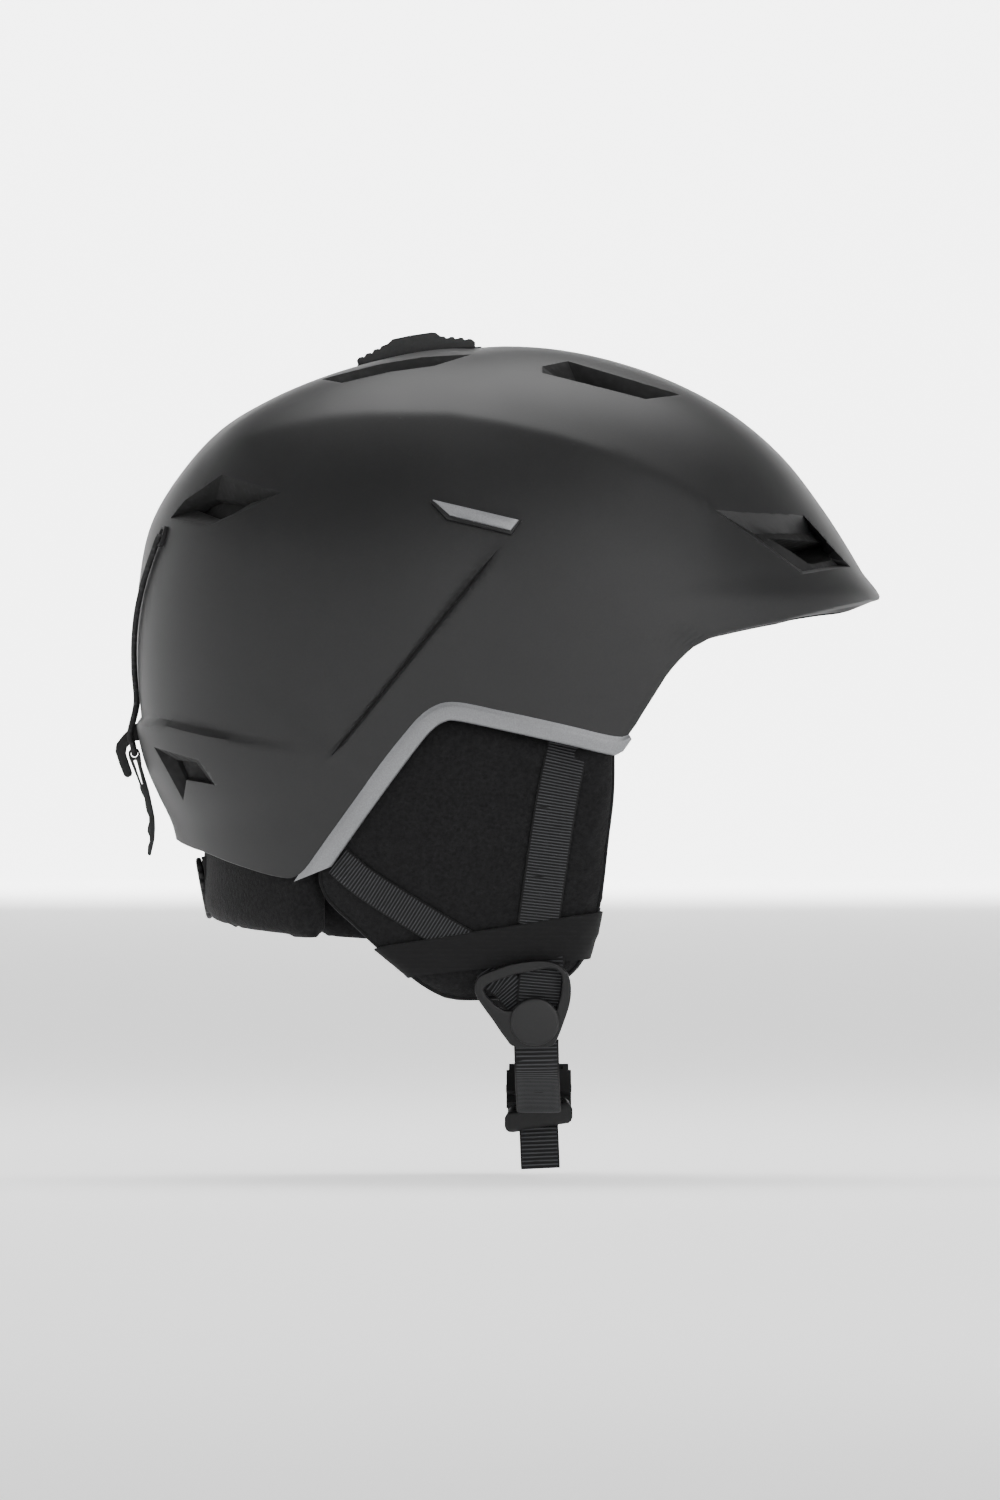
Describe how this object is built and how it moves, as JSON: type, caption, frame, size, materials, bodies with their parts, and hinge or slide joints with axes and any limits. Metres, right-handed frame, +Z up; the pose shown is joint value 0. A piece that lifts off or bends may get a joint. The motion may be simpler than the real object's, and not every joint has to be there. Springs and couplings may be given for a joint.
{
  "type": "ski helmet",
  "caption": "Hard shell ski helmet with a short brim, vents, ear pads, nape fit dial, goggle retainer and a buckled chin strap.",
  "frame": {"origin": "Centre of the head cavity, the head_seat mount, 111 mm below the crown.", "axes": "+X is the front with the brim, +Y the wearer's left, +Z up."},
  "size_m": [0.2949, 0.214, 0.3205],
  "materials": {
    "shell_abs": "matt moulded ABS, fine grain",
    "impact_foam": "moulded bead foam",
    "silver_plastic": "satin silver grey lacquer on plastic",
    "black_plastic": "satin moulded nylon",
    "white_plastic": "moulded acetal",
    "fleece": "brushed fleece over foam",
    "smooth_fabric": "smooth stretch knit",
    "webbing": "ribbed woven polyester webbing",
    "elastic": "braided elastic cord",
    "rubber": "matt soft rubber",
    "steel": "zinc plated rivets"
  },
  "bodies": {
    "root": {"shell": "shell_abs", "foam_liner": "impact_foam", "edge_trim_right": "silver_plastic", "edge_trim_left": "silver_plastic", "badge_base_right": "black_plastic", "badge_base_left": "black_plastic", "badge_plate_right": "silver_plastic", "badge_plate_left": "silver_plastic", "crown_pad": "fleece", "brow_pad": "fleece", "neck_pad": "fleece", "neck_wing_right": "fleece", "neck_wing_left": "fleece", "ear_pad_right": "fleece", "ear_pad_left": "fleece", "ear_sleeve_right": "smooth_fabric", "ear_sleeve_left": "smooth_fabric", "strap_front_right": "webbing", "strap_front_left": "webbing", "strap_rear_right": "webbing", "strap_rear_left": "webbing", "strap_anchors": "steel", "strap_divider_right": "black_plastic", "strap_divider_left": "black_plastic", "divider_cap_right": "black_plastic", "divider_cap_left": "black_plastic", "slider_track": "black_plastic", "dial_housing": "black_plastic", "goggle_hook": "black_plastic", "cord_anchors": "black_plastic"},
    "vent_slider": {"vent_slider": "black_plastic", "vent_shutter": "black_plastic"},
    "fit_dial": {"fit_dial": "rubber", "dial_pinion": "white_plastic"},
    "fit_band_right": {"fit_band_right": "black_plastic"},
    "fit_band_left": {"fit_band_left": "black_plastic"},
    "cord_loop": {"goggle_cord": "elastic"},
    "goggle_tab": {"goggle_tab": "rubber"},
    "chin_loop": {"chin_strap_left": "webbing", "chin_strap_right": "webbing", "buckle_female": "black_plastic"},
    "buckle_male": {"buckle_male": "black_plastic", "ladder_lock": "black_plastic", "strap_tail": "webbing"},
    "prong_front": {"prong_front": "black_plastic"},
    "prong_rear": {"prong_rear": "black_plastic"}
  },
  "joints": [
    {"name": "vent_slide", "type": "hinge", "parent": "root", "child": "vent_slider", "pos_m": [0.00783, 0, -0.07646], "axis": [0, 1, 0], "range_deg": [0, 2.75]},
    {"name": "fit_dial_turn", "type": "hinge", "parent": "root", "child": "fit_dial", "pos_m": [-0.1024, 0, -0.0955], "axis": [-0.9816, 0, -0.1908], "range_deg": [-120, 0]},
    {"name": "fit_band_right_slide", "type": "hinge", "parent": "root", "child": "fit_band_right", "pos_m": [-0.02534, 0, -0.08052], "axis": [-0.1908, 0, 0.9816], "range_deg": [-7.64, 0]},
    {"name": "fit_band_left_slide", "type": "hinge", "parent": "root", "child": "fit_band_left", "pos_m": [-0.02534, 0, -0.08052], "axis": [-0.1908, 0, 0.9816], "range_deg": [0, 7.64]},
    {"name": "goggle_cord_release", "type": "slide", "parent": "root", "child": "cord_loop", "axis": [0.2496, 0, -0.9683], "range_m": [0, 0.014], "stiffness_N_per_m": 400, "springref_m": -0.004, "deforming": ["goggle_cord"]},
    {"name": "goggle_tab_swing", "type": "hinge", "parent": "cord_loop", "child": "goggle_tab", "pos_m": [-0.1292, 0, -0.0435], "axis": [0, 1, 0], "range_deg": [-5, 70]},
    {"name": "chin_strap_swing", "type": "hinge", "parent": "root", "child": "chin_loop", "pos_m": [0.0255, 0, -0.15459], "axis": [0, 1, 0], "range_deg": [-45, 45]},
    {"name": "buckle_release", "type": "slide", "parent": "chin_loop", "child": "buckle_male", "axis": [0, -0.9455, -0.3256], "range_m": [0, 0.024], "deforming": ["chin_strap_right"]},
    {"name": "prong_front_squeeze", "type": "hinge", "parent": "buckle_male", "child": "prong_front", "pos_m": [0.0348, 0.00516, -0.17716], "axis": [0, -0.3256, 0.9455], "range_deg": [0, 7], "stiffness_Nm_per_rad": 1.2},
    {"name": "prong_rear_squeeze", "type": "hinge", "parent": "buckle_male", "child": "prong_rear", "pos_m": [0.0182, 0.00516, -0.17716], "axis": [0, -0.3256, 0.9455], "range_deg": [-7, 0], "stiffness_Nm_per_rad": 1.2}
  ],
  "couplings": [
    {"joint": "fit_band_right_slide", "follows": "fit_dial_turn", "ratio": 0.06285},
    {"joint": "fit_band_left_slide", "follows": "fit_dial_turn", "ratio": -0.06285}
  ]
}
